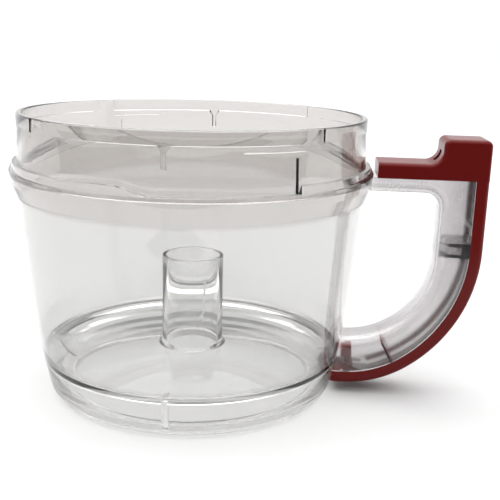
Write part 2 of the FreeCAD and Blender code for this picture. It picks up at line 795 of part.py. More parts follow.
def make_lower_push_rod():
    """Bowed rod in the back strip; its forked finger rides over the ramp of the switch pin."""
    centre, radius = rod_circle()
    half = size("arc_rod_thickness") / 2
    end_angle = -math.degrees(math.acos((size("arc_rod_end") - centre.x) / radius))
    rod = ring_sector(centre, radius - half, radius + half, end_angle,
                      size("arc_rod_top_angle"), size("arc_rod_width"))
    turn = math.radians(end_angle)
    heel = centre + Vector((radius + half) * math.cos(turn), 0, (radius + half) * math.sin(turn))
    reach = size("finger_reach")
    tip = heel.z + ramp_slope() * (heel.x - reach)
    top = tip + size("finger_height")
    loop = [(heel.x, heel.z), (reach, tip), (reach, top), (heel.x + half, top),
            (heel.x + 2 * half, heel.z + half), (heel.x, heel.z)]
    finger = prism(chain(*loop), size("finger_width"))
    fork = size("finger_fork")
    gap = Part.makeBox(heel.x - reach, fork, 4 * size("finger_height"),
                       Vector(reach - half, -fork / 2, heel.z - half))
    return shaped("lower_push_rod", rod.fuse(finger.cut(gap)).removeSplitter()), heel


def make_switch_pin(heel):
    """Red pin that the rod presses out of the foot of the handle, with its wedge head."""
    width = size("finger_width")
    play = size("play")
    slope = ramp_slope()
    start = size("pin_place - pin_shoulder_back")
    end = size("pin_place + pin_shoulder_front")
    bottom = size("pin_shoulder_bottom")

    def ramp(x):
        return heel.z + slope * (heel.x - x) - play * math.sqrt(1 + slope ** 2)

    shoulder = prism(chain((start, bottom), (end, bottom), (end, ramp(end)),
                           (start, ramp(start)), (start, bottom)), width)
    low = size("pin_head_bottom")
    top = size("pin_head_bottom + pin_head_height")
    near = size("pin_place - pin_head_back")
    far = size("pin_place + pin_head_front")
    loop = [(near, low), (near, top - size("pin_head_slant_height")),
            (near + size("pin_head_slant_length"), top), (far, top), (far, low), (near, low)]
    head = prism(chain(*loop), size("pin_head_width"))
    foot = size("back_low") + play
    stem = Part.makeCylinder(size("pin_radius"), low + size("pin_radius") - foot,
                             Vector(size("pin_place"), 0, foot))
    return shaped("switch_pin", stem.fuse([shoulder, head]).removeSplitter())


def make_pin_bush():
    """Bearing ring of the pin, seated in the tail of the back strip."""
    place = ("pin_place", "0", "back_low")
    ring = upright("bush_ring", "bush_radius", "bush_height", place)
    bore = upright("bush_bore", "pin_radius + running_play", "bush_height", place)
    return sub_part("pin_bush", cut("pin_bush", ring, bore))


def make_upper_guide():
    """Plate across the strip that steers the upright rod and seats its spring."""
    plate = box("upper_plate", "strip_depth - shell_wall", "handle_width - 2 * shell_wall",
                "guide_thickness",
                ("back_reach - strip_depth", "shell_wall - handle_width / 2", "upper_guide_bottom"))
    bore = upright("upper_bore", "rod_radius + running_play", "guide_thickness",
                   ("rod_axis", "0", "upper_guide_bottom"))
    return sub_part("upper_guide", cut("upper_guide", plate, bore))


def make_middle_guide():
    """Grey clip across the channel at mid grip, a hollow block that the bowed rod passes."""
    low = size("middle_guide_bottom")
    tall = size("middle_guide_height")
    wall = size("shell_wall")
    width = size("handle_width") - 2 * wall
    inside = size("palm_reach") + wall
    outside = size("back_reach") - wall - size("play")
    block = Part.makeBox(outside - inside, width, tall, Vector(inside, -width / 2, low))
    corners = [edge for edge in block.Edges
               if all(abs(spot.X - inside) < 1e-4 for spot in edge.Vertexes)
               and abs(edge.Vertexes[0].Y - edge.Vertexes[1].Y) < 1e-4]
    round_off = size("palm_edge_round") - wall
    block = block.makeFillet(round_off, corners)
    seam_x = size("back_reach - strip_depth")
    window = Part.makeBox(seam_x - inside - 2 * round_off, 2 * width, tall - 2 * wall,
                          Vector(inside + round_off, -width, low + wall))
    play = size("play")
    slot_long = size("arc_rod_thickness") + 4 * play
    slot_wide = size("arc_rod_width") + 2 * play
    axis = size("rod_axis")
    slot = Part.makeBox(slot_long, slot_wide, tall,
                        Vector(axis - slot_long / 2, -slot_wide / 2, low))
    return shaped("middle_guide", block.cut(window).cut(slot))


def make_lower_guide():
    """Thin red rib near the foot, notched for the bowed rod."""
    centre, radius = rod_circle()
    angle = -size("lower_guide_angle")
    thick = math.degrees(size("lower_guide_thickness") / radius)
    half = size("arc_rod_thickness") / 2
    outside = radius + size("rod_inset") - size("shell_wall") - size("play")
    plate = ring_sector(centre, outside - size("lower_guide_height"), outside,
                        angle - thick / 2, angle + thick / 2,
                        size("handle_width") - 2 * size("shell_wall"))
    play = size("play")
    notch = ring_sector(centre, radius - half - play, radius + half + play, angle - thick,
                        angle + thick, size("arc_rod_width") + 2 * play)
    return shaped("lower_guide", plate.cut(notch))


# ---------------------------------------------------------------- assembly and export

make_work_bowl()
envelope = bowl_envelope()
make_handle_grip(envelope)
make_back_strip(envelope)
make_handle_cover(envelope)
make_slider_track()
make_track_screws()
make_interlock_slider()
_, spring_top = make_upper_push_rod()
make_rod_spring(spring_top)
_, finger_heel = make_lower_push_rod()
make_switch_pin(finger_heel)
make_pin_bush()
make_upper_guide()
make_middle_guide()
make_lower_guide()
doc.recompute()

for thing in doc.Objects:
    if "Invalid" in thing.State or "Error" in thing.State:
        raise RuntimeError(f"{thing.Name} failed: {thing.State}")

os.makedirs("parts", exist_ok=True)
for label, thing in parts.items():
    shape = thing.Shape
    if shape.isNull() or not shape.isValid() or not shape.Solids:
        raise RuntimeError(f"{label} has no valid solid")
    corners = shape.BoundBox
    print(f"{label:18s} {len(shape.Solids)} solid(s) {shape.Volume:10.1f} mm3  "
          f"x {corners.XMin:7.1f} {corners.XMax:7.1f}  y {corners.YMin:7.1f} {corners.YMax:7.1f}  "
          f"z {corners.ZMin:7.1f} {corners.ZMax:7.1f}")
for label, thing in parts.items():
    thing.Shape.exportStep(f"parts/{label}.step")
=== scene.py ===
import math

import bmesh
import bpy
from mathutils import Matrix, Vector


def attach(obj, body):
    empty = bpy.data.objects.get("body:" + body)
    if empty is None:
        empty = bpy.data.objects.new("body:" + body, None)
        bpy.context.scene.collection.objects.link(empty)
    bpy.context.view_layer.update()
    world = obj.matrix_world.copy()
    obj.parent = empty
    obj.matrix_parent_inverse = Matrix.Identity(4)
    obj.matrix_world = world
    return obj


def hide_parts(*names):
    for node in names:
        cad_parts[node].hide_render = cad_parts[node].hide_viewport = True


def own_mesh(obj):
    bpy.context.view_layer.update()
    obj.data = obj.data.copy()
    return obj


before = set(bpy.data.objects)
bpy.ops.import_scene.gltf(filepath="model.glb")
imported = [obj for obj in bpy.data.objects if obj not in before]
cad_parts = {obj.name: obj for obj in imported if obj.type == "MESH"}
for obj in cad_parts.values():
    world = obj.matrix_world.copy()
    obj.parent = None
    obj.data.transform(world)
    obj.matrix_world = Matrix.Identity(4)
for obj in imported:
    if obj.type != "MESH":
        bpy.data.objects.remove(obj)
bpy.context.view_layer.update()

# ---------------------------------------------------------------------------- studio
# The bowl stands on a seamless pale table in a soft-lit room: white at table height behind it,
# brightest on the left, dimmer on the viewer's side, so that clear plastic draws its edges and
# gloss red stays deep.

mm = 0.001
scene = bpy.context.scene
scene.view_settings.view_transform = "Standard"
scene.cycles.max_bounces = 24
scene.cycles.transmission_bounces = 24
scene.cycles.glossy_bounces = 10

eye = Vector((71.1, -497.4, 217.8)) * mm
turned, tilted, rolled = math.radians(3.97), 0.2545, 0.0273
forward = Vector((-math.sin(turned) * math.cos(tilted), math.cos(turned) * math.cos(tilted),
                  -math.sin(tilted)))
across = Vector((math.cos(turned), math.sin(turned), 0))
upward = across.cross(forward)
camera = bpy.data.objects.new("camera", bpy.data.cameras.new("camera"))
scene.collection.objects.link(camera)
camera.data.sensor_width = 36
camera.data.lens = 58.2
camera.data.clip_start = 0.01
level = math.cos(rolled) * across + math.sin(rolled) * upward
plumb = math.cos(rolled) * upward - math.sin(rolled) * across
camera.matrix_world = Matrix((level, plumb, -forward)).transposed().to_4x4()
camera.location = eye
scene.camera = camera


def new_node(tree, kind, **values):
    """A node of the tree with its settings and the default values of its sockets filled in."""
    node = tree.nodes.new(kind)
    for key, value in values.items():
        socket = key.replace("_", " ")
        if hasattr(node, key):
            setattr(node, key, value)
        else:
            node.inputs[socket].default_value = value
    return node


def faded(tree, value, low, high, start, end):
    """Smooth change from start to end while value goes from low to high."""
    ramp = new_node(tree, "ShaderNodeMapRange", interpolation_type="SMOOTHSTEP", From_Min=low,
                    From_Max=high, To_Min=start, To_Max=end)
    tree.links.new(value, ramp.inputs["Value"])
    return ramp.outputs["Result"]


def worked(tree, operation, first, second):
    """Result of a math node on two sockets or numbers."""
    node = new_node(tree, "ShaderNodeMath", operation=operation)
    for socket, value in zip(node.inputs, (first, second)):
        if isinstance(value, (int, float)):
            socket.default_value = value
        else:
            tree.links.new(value, socket)
    return node.outputs[0]


bpy.ops.mesh.primitive_plane_add(size=24)
table = bpy.context.object
table.name = "table_top"
paper = bpy.data.materials.new("white_paper")
paper.use_nodes = True
paper_skin = paper.node_tree.nodes["Principled BSDF"]
paper_skin.inputs["Roughness"].default_value = 0.9
paper_skin.inputs["Specular IOR Level"].default_value = 0.0
grain = new_node(paper.node_tree, "ShaderNodeTexNoise", Scale=60.0, Detail=3.0)
shade = new_node(paper.node_tree, "ShaderNodeMix", data_type="RGBA")
shade.inputs[6].default_value = (0.55, 0.55, 0.55, 1)
shade.inputs[7].default_value = (0.57, 0.57, 0.57, 1)
paper.node_tree.links.new(grain.outputs["Fac"], shade.inputs[0])
paper.node_tree.links.new(shade.outputs[2], paper_skin.inputs["Base Color"])
table.data.materials.append(paper)

room = bpy.data.worlds.new("soft_room")
scene.world = room
room.use_nodes = True
sky = room.node_tree
way = sky.nodes.new("ShaderNodeTexCoord")
split = sky.nodes.new("ShaderNodeSeparateXYZ")
sky.links.new(way.outputs["Generated"], split.inputs[0])
side, ahead, height = split.outputs["X"], split.outputs["Y"], split.outputs["Z"]
wall_light = faded(sky, ahead, -0.5, 0.1, 0.14, 1.02)
wall_fall = faded(sky, height, 0.07, 0.3, 1.0, 0.4)
window = faded(sky, side, -0.75, -0.25, 1.8, 1.0)
ceiling = faded(sky, height, 0.3, 0.85, 0.0, 2.2)
walls = worked(sky, "MULTIPLY", worked(sky, "MULTIPLY", wall_light, wall_fall), window)
sky.links.new(worked(sky, "ADD", walls, ceiling), sky.nodes["Background"].inputs["Strength"])
sky.nodes["Background"].inputs["Color"].default_value = (1, 1, 1, 1)

sun = bpy.data.objects.new("skylight", bpy.data.lights.new("skylight", "SUN"))
sun.data.energy = 1.3
sun.data.angle = math.radians(70)
sun.rotation_euler = (math.radians(-18), math.radians(-8), 0)
scene.collection.objects.link(sun)

bpy.ops.mesh.primitive_plane_add(size=1, location=(0, -2.4, 0.001))
flag = bpy.context.object
flag.name = "black_flag"
flag.scale = (6, 4.1, 1)
velvet = bpy.data.materials.new("black_velvet")
velvet.use_nodes = True
velvet_skin = velvet.node_tree.nodes["Principled BSDF"]
velvet_skin.inputs["Base Color"].default_value = (0.02, 0.02, 0.02, 1)
velvet_skin.inputs["Roughness"].default_value = 1.0
velvet_skin.inputs["Specular IOR Level"].default_value = 0.0
flag.data.materials.append(velvet)
flag.visible_camera = flag.visible_diffuse = flag.visible_shadow = False
flag.visible_transmission = False

# ---------------------------------------------------------------------------- clear bowl
# One injection moulding in clear styrene copolymer: wall, bayonet collar, floor, drive tube and
# foot. Its edges are softly rounded; the collar carries the bands, ribs and windows of the lid.

rim_z, band_z, ledge_z, flange_z, window_z = 174.0, 166.3, 145.5, 141.0, 141.3
rim_r, collar_r, ledge_r, flange_r, band_r = 105.0, 106.5, 109.0, 111.3, 105.9
rim_wall = 2.6
foot_z, floor_under, floor_z, tube_top = 5.0, 23.3, 26.3, 84.8
tube_bore, tube_r, lip_r, foot_bore, skirt_r = 17.0, 19.5, 80.0, 86.0, 93.0
bowl_inside = 93.6
stop_proud, rib_proud, bead_proud = 1.8, 0.7, 0.35
band_half, rib_half, funnel_half, stop_half = 41.5, 0.65, 2.0, 0.55
funnel_reach = 6
guide_turns, stop_turns, skirt_turns = (-90, 90), (-51.5, 128.5), (-91.3, -1.3, 88.7, 178.7)
window_sweep, ramp_sweep, skirt_half = 43.2, 8.7, 1.0
rib_low, funnel_low, stop_top = 154.7, 162.9, 159.7
skirt_rib_r, edge = 83.5, 0.15
turn_step, turn_room, window_edge = 1.5, 0.25, 0.06
bead_z, bead_from, bead_to = 163.0, 3.0, 16.8


def arc_points(start, end, radius, count):
    """Points of an arc from start to end; it bulges to the right of the way if radius > 0."""
    start, end = Vector(start), Vector(end)
    chord = end - start
    side = Vector((-chord.y, chord.x)).normalized()
    reach = math.sqrt(radius ** 2 - chord.length_squared / 4)
    centre = (start + end) / 2 + side * math.copysign(reach, radius)
    first = math.atan2(start.y - centre.y, start.x - centre.x)
    last = math.atan2(end.y - centre.y, end.x - centre.x)
    sweep = (last - first + math.pi) % (2 * math.pi) - math.pi
    return [centre + abs(radius) * Vector((math.cos(first + sweep * k / count),
                                           math.sin(first + sweep * k / count)))
            for k in range(count + 1)]


def soft_path(corners, count=4):
    """Closed path through (x, z, round) corners, each turned with a small arc of that radius."""
    path = []
    for k, (x, z, round_off) in enumerate(corners):
        spot = Vector((x, z))
        if not round_off:
            path.append(spot)
            continue
        before = Vector(corners[k - 1][:2]) - spot
        after = Vector(corners[(k + 1) % len(corners)][:2]) - spot
        room_left = 0.45 * min(before.length, after.length)
        half = before.angle(after) / 2
        reach = min(round_off / math.tan(half), room_left)
        radius = reach * math.tan(half)
        centre = spot + (before.normalized() + after.normalized()).normalized() * (
            radius / math.sin(half))
        low, high = spot + before.normalized() * reach, spot + after.normalized() * reach
        for step in range(count + 1):
            middle = low.lerp(high, step / count) - centre
            path.append(centre + middle.normalized() * radius)
    return path


heel_start, heel_end, shoulder = (83, 0), (91.889, 7.592), (106, 116)
outer_heel = [(p.x, p.y, 0) for p in arc_points(heel_start, heel_end, 9, 8)]
outer_bow = [(p.x, p.y, 0) for p in arc_points(heel_end, shoulder, 800, 16)]
inner_bow = [(p.x, p.y, 0) for p in arc_points((103.4, 116), (bowl_inside, floor_z), -800, 14)]


def collar_at(z):
    """Radius of the plain collar wall between the ledge and the rim."""
    return collar_r + (rim_r - collar_r) * max(z - ledge_z, 0) / (rim_z - ledge_z)


def off(turn, place):
    """Signed angle from place to turn, in degrees."""
    return (turn - place + 180) % 360 - 180


def bowl_section(turn):
    """Closed section at one angle: what the lid and the base lock into comes and goes."""
    banded = any(abs(off(turn, 90 * k)) < band_half for k in range(4))
    ribbed = any(abs(off(turn, g)) < rib_half for g in guide_turns)
    stopped = any(abs(off(turn, s)) < stop_half for s in stop_turns)
    beaded = any(-bead_to < off(turn, s) < bead_from for s in stop_turns)
    skirted = any(abs(off(turn, g)) < skirt_half for g in skirt_turns)
    sill = ledge_z
    for stop in stop_turns:
        back = -off(turn, stop)
        if 0 < back < window_sweep:
            sill = window_z
        elif window_sweep <= back < window_sweep + ramp_sweep:
            sill = window_z + (ledge_z - window_z) * (back - window_sweep) / ramp_sweep

    def wall(z):
        radius = collar_at(z)
        if stopped and z < stop_top:
            return radius + stop_proud
        if ribbed and rib_low < z < band_z:
            return collar_r + rib_proud
        if beaded and abs(z - bead_z) < 0.2:
            return radius + bead_proud
        if banded and z > band_z:
            return band_r
        return radius

    slope_r = ledge_r + (flange_r - ledge_r) * (ledge_z - sill) / (ledge_z - flange_z)
    rows = (150, 154.6, 154.8, 159.6, 159.8, 162.7, 162.9, 163.1, 163.3, 166.2, 166.4)
    skirt = [(skirt_rib_r if skirted else plain, z, 0)
             for plain, z in ((90.52, 14.4), (89.289, 10), (88.9, 9.4))]
    foot_r = skirt_rib_r if skirted else foot_bore
    root_r = skirt_rib_r if skirted else skirt_r
    corners = [(lip_r, 0, 0.5), *outer_heel, *outer_bow[1:], (107, 125.5, 1.5), (110.3, 134.4, 2),
               (flange_r, flange_z, 0.3), (slope_r, sill, 0.15), (wall(sill), sill, 0.15)]
    corners += [(wall(z), z, 0) for z in rows]
    corners += [(wall(rim_z), rim_z, 0.9), (rim_r - rim_wall, rim_z, 0.9),
                (collar_r - rim_wall, 138.4, 0.5),
                (108.4, 138.4, 0.3),
                (107.7, 134.2, 1.5), (104.4, 125.9, 1.5), *inner_bow[:-1],
                (bowl_inside, floor_z, 2.5), (tube_r + 2, floor_z, 1), (tube_r, floor_z + 2, 1),
                (tube_r, tube_top, 0.7), (tube_bore, tube_top, 0.7),
                (tube_bore, floor_under, 0.5), (root_r, floor_under, 1), *skirt,
                (foot_r, foot_z, 0.6), (lip_r, foot_z, 0.4)]
    return soft_path(corners)


def bowl_turns():
    """Angles of the sections: an even step, with a pair at each side of every feature."""
    marks = set()
    for middle, half in ([(90 * k, band_half) for k in range(4)]
                         + [(g, rib_half) for g in guide_turns]
                         + [(s, stop_half) for s in stop_turns]
                         + [(g, skirt_half) for g in skirt_turns]):
        for side in (-1, 1):
            marks |= {middle + side * half - edge, middle + side * half + edge}
    for stop in stop_turns:
        for back in (window_sweep, window_sweep + ramp_sweep, bead_to, -bead_from):
            marks |= {stop - back - window_edge, stop - back + window_edge}
    marks = {round(mark % 360, 3) for mark in marks}
    even = [turn_step * k for k in range(round(360 / turn_step))]
    even = [turn for turn in even if all(abs(off(turn, mark)) > turn_room for mark in marks)]
    return sorted(marks | set(even))


def flared(turn, z):
    """The guide ribs open into a funnel just under the band: the sections there spread out."""
    spread = min(max((z - funnel_low) / (band_z - 0.2 - funnel_low), 0), 1) if z < 170 else 0
    for place in guide_turns:
        away = off(turn, place)
        if abs(away) < funnel_reach and spread:
            wide = rib_half + (funnel_half - rib_half) * spread
            if abs(away) <= rib_half:
                return place + away * wide / rib_half
            return place + math.copysign(
                wide + (abs(away) - rib_half) * (funnel_reach - wide) / (funnel_reach - rib_half),
                away)
    return turn


def grid_piece(name, rings, closed=False):
    """Mesh of quads between like-numbered points of successive rings, in metres."""
    mesh = bpy.data.meshes.new(name)
    count = len(rings[0])
    last = len(rings) if closed else len(rings) - 1
    faces = []
    for i in range(last):
        j = (i + 1) % len(rings)
        faces += [(i * count + k, j * count + k, j * count + (k + 1) % count,
                   i * count + (k + 1) % count) for k in range(count)]
    mesh.from_pydata([Vector(p) * mm for ring in rings for p in ring], [], faces)
    piece = bpy.data.objects.new(name, mesh)
    scene.collection.objects.link(piece)
    return piece


def smooth(piece, degrees=32):
    """Shade smooth, with an edge kept where two faces meet at more than the angle."""
    mesh = piece.data
    sheet = bmesh.new()
    sheet.from_mesh(mesh)
    bmesh.ops.remove_doubles(sheet, verts=sheet.verts, dist=1e-6)
    bmesh.ops.recalc_face_normals(sheet, faces=sheet.faces)
    sheet.to_mesh(mesh)
    sheet.free()
    mesh.shade_smooth()
    mesh.set_sharp_from_angle(angle=math.radians(degrees))


bowl_rings = []
for turn in bowl_turns():
    ring = []
    for spot in bowl_section(turn):
        angle = math.radians(flared(turn, spot.y) if spot.x > 100 else turn)
        ring.append((spot.x * math.cos(angle), spot.x * math.sin(angle), spot.y))
    bowl_rings.append(ring)
bowl = grid_piece("clear_bowl", bowl_rings, closed=True)
smooth(bowl)
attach(bowl, "bowl")
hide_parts("work_bowl")


def effect_group(name, sockets_in, sockets_out):
    """Empty shader group with named sockets; returns the group, its input and its output."""
    group = bpy.data.node_groups.new(name, "ShaderNodeTree")
    for label, kind, value in sockets_in:
        socket = group.interface.new_socket(label, in_out="INPUT", socket_type=kind)
        if value is not None:
            socket.default_value = value
    for label, kind in sockets_out:
        group.interface.new_socket(label, in_out="OUTPUT", socket_type=kind)
    return group, group.nodes.new("NodeGroupInput"), group.nodes.new("NodeGroupOutput")


def fine_rubs():
    """Hair-fine rubs from stacking and washing: two crossing sets of broken, stretched lines."""
    group, given, made = effect_group(
        "fine_rubs", [("Scale", "NodeSocketFloat", 1.0), ("Amount", "NodeSocketFloat", 0.5)],
        [("Rubs", "NodeSocketFloat"), ("Haze", "NodeSocketFloat")])
    place = group.nodes.new("ShaderNodeTexCoord")
    sets = []
    for turn, stretch in ((0.35, (900, 40, 60)), (-0.8, (50, 700, 90))):
        lay = new_node(group, "ShaderNodeMapping", Rotation=(turn, 0.5 * turn, turn),
                       Scale=stretch)
        grow = new_node(group, "ShaderNodeVectorMath", operation="SCALE")
        group.links.new(place.outputs["Object"], grow.inputs[0])
        group.links.new(given.outputs["Scale"], grow.inputs["Scale"])
        group.links.new(grow.outputs[0], lay.inputs["Vector"])
        line = new_node(group, "ShaderNodeTexNoise", Scale=1.0, Detail=2.0)
        group.links.new(lay.outputs[0], line.inputs["Vector"])
        sets.append(faded(group, line.outputs["Fac"], 0.66, 0.72, 0.0, 1.0))
    patch = new_node(group, "ShaderNodeTexNoise", Scale=28.0, Detail=4.0, Roughness=0.6)
    group.links.new(place.outputs["Object"], patch.inputs["Vector"])
    worn = faded(group, patch.outputs["Fac"], 0.42, 0.68, 0.0, 1.0)
    lines = worked(group, "MAXIMUM", sets[0], sets[1])
    kept = worked(group, "MULTIPLY", lines, worn)
    rubs = worked(group, "MULTIPLY", kept, given.outputs["Amount"])
    group.links.new(rubs, made.inputs["Rubs"])
    group.links.new(worked(group, "MULTIPLY", worn, given.outputs["Amount"]), made.inputs["Haze"])
    return group


def mould_skin():
    """Surface left by the mould: slow flow waves and a close orange-peel ripple, as a height."""
    group, given, made = effect_group(
        "mould_skin", [("Wave", "NodeSocketFloat", 1.0), ("Peel", "NodeSocketFloat", 1.0)],
        [("Height", "NodeSocketFloat"), ("Flow", "NodeSocketFloat")])
    place = group.nodes.new("ShaderNodeTexCoord")
    wave = new_node(group, "ShaderNodeTexNoise", Scale=14.0, Detail=1.0)
    peel = new_node(group, "ShaderNodeTexNoise", Scale=420.0, Detail=2.0)
    for texture in (wave, peel):
        group.links.new(place.outputs["Object"], texture.inputs["Vector"])
    total = worked(group, "ADD",
                   worked(group, "MULTIPLY", wave.outputs["Fac"], given.outputs["Wave"]),
                   worked(group, "MULTIPLY", peel.outputs["Fac"], given.outputs["Peel"]))
    group.links.new(total, made.inputs["Height"])
    group.links.new(wave.outputs["Fac"], made.inputs["Flow"])
    return group


rubs_group, skin_group = fine_rubs(), mould_skin()


def placed(tree, group, **values):
    """The group as a node of a material's tree, with its values."""
    node = tree.nodes.new("ShaderNodeGroup")
    node.node_tree = group
    for key, value in values.items():
        node.inputs[key].default_value = value
    return node


def plastic(name, pale, deep, rough, rub, wave, peel, bump, **sockets):
    """Moulded plastic: flow shading between two colours, rubs, and the skin left by the mould."""
    material = bpy.data.materials.new(name)
    material.use_nodes = True
    tree = material.node_tree
    skin = tree.nodes["Principled BSDF"]
    for socket, value in sockets.items():
        skin.inputs[socket.replace("_", " ")].default_value = value
    rubs = placed(tree, rubs_group, Amount=rub)
    mould = placed(tree, skin_group, Wave=wave, Peel=peel)
    tint = new_node(tree, "ShaderNodeMix", data_type="RGBA")
    tint.inputs[6].default_value = (*pale, 1)
    tint.inputs[7].default_value = (*deep, 1)
    tree.links.new(mould.outputs["Flow"], tint.inputs[0])
    tree.links.new(tint.outputs[2], skin.inputs["Base Color"])
    gloss = worked(tree, "ADD", worked(tree, "MULTIPLY", rubs.outputs["Rubs"], 0.25),
                   worked(tree, "MULTIPLY", rubs.outputs["Haze"], 0.06))
    tree.links.new(worked(tree, "ADD", gloss, rough), skin.inputs["Roughness"])
    height = worked(tree, "SUBTRACT", mould.outputs["Height"],
                    worked(tree, "MULTIPLY", rubs.outputs["Rubs"], 0.5))
    relief = new_node(tree, "ShaderNodeBump", Strength=bump, Distance=0.0002)
    tree.links.new(height, relief.inputs["Height"])
    tree.links.new(relief.outputs[0], skin.inputs["Normal"])
    return material


def painted_shade_beyond(material, axes, low, high, darker):
    """Painted shade: the colour is multiplied down where the part of the place along
    the axes gets longer than low, in metres."""
    tree = material.node_tree
    skin = tree.nodes["Principled BSDF"]
    source = skin.inputs["Base Color"].links[0].from_socket
    where = tree.nodes.new("ShaderNodeTexCoord")
    part = new_node(tree, "ShaderNodeVectorMath", operation="MULTIPLY")
    part.inputs[1].default_value = axes
    tree.links.new(where.outputs["Object"], part.inputs[0])
    reach = new_node(tree, "ShaderNodeVectorMath", operation="LENGTH")
    tree.links.new(part.outputs["Vector"], reach.inputs[0])
    share = faded(tree, reach.outputs["Value"], low, high, 0.0, 1.0)
    dark = new_node(tree, "ShaderNodeMix", data_type="RGBA", blend_type="MULTIPLY")
    dark.inputs[7].default_value = (*darker, 1)
    tree.links.new(share, dark.inputs[0])
    tree.links.new(source, dark.inputs[6])
    tree.links.new(dark.outputs[2], skin.inputs["Base Color"])


def absorbing(material, colour, density):
    """Light fades with the way it goes inside the plastic, so edges and long ways look darker."""
    body = new_node(material.node_tree, "ShaderNodeVolumeAbsorption", Density=density)
    body.inputs["Color"].default_value = (*colour, 1)
    output = material.node_tree.nodes["Material Output"]
    material.node_tree.links.new(body.outputs[0], output.inputs["Volume"])


clear_plastic = plastic("clear_plastic", (0.985, 0.985, 0.98), (0.965, 0.965, 0.96), 0.012, 0.25,
                        0.35, 0.02, 0.25, Transmission_Weight=1.0, IOR=1.57)
absorbing(clear_plastic, (0.5, 0.5, 0.48), 12.0)
# Painted shade: darker tint on the wall, foot and collar from 83.5 to 90.5 mm out from the axis,
# and on the collar from 122.5 to 126.5 mm up
painted_shade_beyond(clear_plastic, (1, 1, 0), 0.0835, 0.0905, (0.82, 0.818, 0.815))
painted_shade_beyond(clear_plastic, (0, 0, 1), 0.1225, 0.1265, (0.845, 0.822, 0.808))
bowl.data.materials.append(clear_plastic)
bowl.visible_shadow = False

# ---------------------------------------------------------------------------- clear grip
# Clear channel of the D handle, moulded in the same plastic and welded to the bowl's wall under
# the flange and above the foot. Its inside faces are fine-blasted; its smoky grey is painted
# shade.

half_width, shell, seam_depth = 14.0, 2.2, 8.0
back_bend = dict(reach=179.4, knee=96.0, toe=99.0, low=6.3, toe_round=70.0)
palm_bend = dict(reach=151.6, knee=90.0, toe=100.0, low=36.5, toe_round=48.0)
arm_under, seam_top, palm_corner = 130.7, 139.7, 9.0
arm_start, arm_end, seam_turn, foot_end = 113.0, 146.0, 122.0, 94.0
weld_gap, palm_round = 0.05, 7.0


def bend_points(inward, count, reach, knee, toe, low, toe_round):
    """Quarter bend of the handle as two tangent arcs, from its knee down to its toe."""
    reach, low, toe_round = reach - inward, low + inward, toe_round - inward
    wide, tall = reach - toe, knee - low
    side_round = (wide ** 2 + tall ** 2 - 2 * tall * toe_round) / (2 * (wide - toe_round))
    side_centre, toe_centre = Vector((reach - side_round, knee)), Vector((toe, low + toe_round))
    way = (toe_centre - side_centre) / (side_round - toe_round)
    meet = math.atan2(way.y, way.x)
    points = []
    for k in range(count + 1):
        angle = -math.pi / 2 * k / count
        centre, radius = (side_centre, side_round) if angle > meet else (toe_centre, toe_round)
        points.append(centre + radius * Vector((math.cos(angle), math.sin(angle))))
    return points


def run(start, end, count):
    """Evenly spaced points from start up to, but not at, end."""
    return [Vector(start).lerp(Vector(end), k / count) for k in range(count)]


outer_line = sorted([(z, x) for x, z, _ in outer_heel + outer_bow]
                    + [(125.5, 107), (134.4, 110.3), (141.0, 111.3)])


def bowl_reach(z):
    """Radius of the bowl's outer surface at a height below the ledge."""
    for (low, near), (high, far) in zip(outer_line, outer_line[1:]):
        if z <= high:
            return near + (far - near) * max(z - low, 0) / (high - low)
    return far


def channel_ring(spine, mouth, round_off, lead=0.0):
    """U section between its closed side at spine and its open side at mouth, as 3-D points."""
    way = spine - mouth
    deep = way.length
    way.normalize()
    turn = [math.pi / 2 * k / 8 for k in range(9)]
    loop = []
    for skin, radius, order in ((0, round_off, 1), (shell, max(round_off - shell, 0.4), -1)):
        centre = deep - skin - radius
        side = half_width - skin - radius
        leg = [(lead + (centre - lead) * k / 4, -half_width + skin) for k in range(4)]
        arc = [(centre + radius * math.sin(a), -side - radius * math.cos(a)) for a in turn]
        across_path = leg + arc
        across_path += [(u, -y) for u, y in reversed(across_path)]
        loop += across_path[::order]
    return [(mouth.x + way.x * u, y, mouth.y + way.y * u) for u, y in loop]


def fitted_to_bowl(ring):
    """The same ring pushed along the handle until it meets the bowl's wall."""
    return [(math.sqrt((bowl_reach(z) + weld_gap) ** 2 - y * y), y, z) for _, y, z in ring]


def capped(piece, count):
    """Close both ends of a swept piece whose rings have count points."""
    sheet = bmesh.new()
    sheet.from_mesh(piece.data)
    sheet.verts.ensure_lookup_table()
    sheet.faces.new([sheet.verts[k] for k in range(count)])
    sheet.faces.new([sheet.verts[k] for k in range(len(sheet.verts) - count, len(sheet.verts))])
    bmesh.ops.triangulate(sheet, faces=sheet.faces[-2:])
    sheet.to_mesh(piece.data)
    sheet.free()


corner_x, corner_z = palm_bend["reach"] - palm_corner, arm_under - palm_corner
palm_path = run((arm_start, arm_under), (corner_x, arm_under), 8)
palm_path += [Vector((corner_x + palm_corner * math.sin(a), corner_z + palm_corner * math.cos(a)))
              for a in [math.pi / 2 * k / 12 for k in range(12)]]
palm_path += run((palm_bend["reach"], corner_z), (palm_bend["reach"], palm_bend["knee"]), 4)
palm_path += bend_points(0, 36, **palm_bend) + [Vector((foot_end, palm_bend["low"]))]

seam_x = back_bend["reach"] - seam_depth
seam_path = run((arm_start, seam_top), (arm_end, seam_top), 8)
seam_path += run((arm_end, seam_top), (seam_x, seam_top), 6)
seam_path += run((seam_x, seam_top), (seam_x, seam_turn), 6)
seam_path += run((seam_x, seam_turn), (seam_x, back_bend["knee"]), 4)
seam_path += bend_points(seam_depth, 36, **back_bend)
seam_path += [Vector((foot_end, back_bend["low"] + seam_depth))]

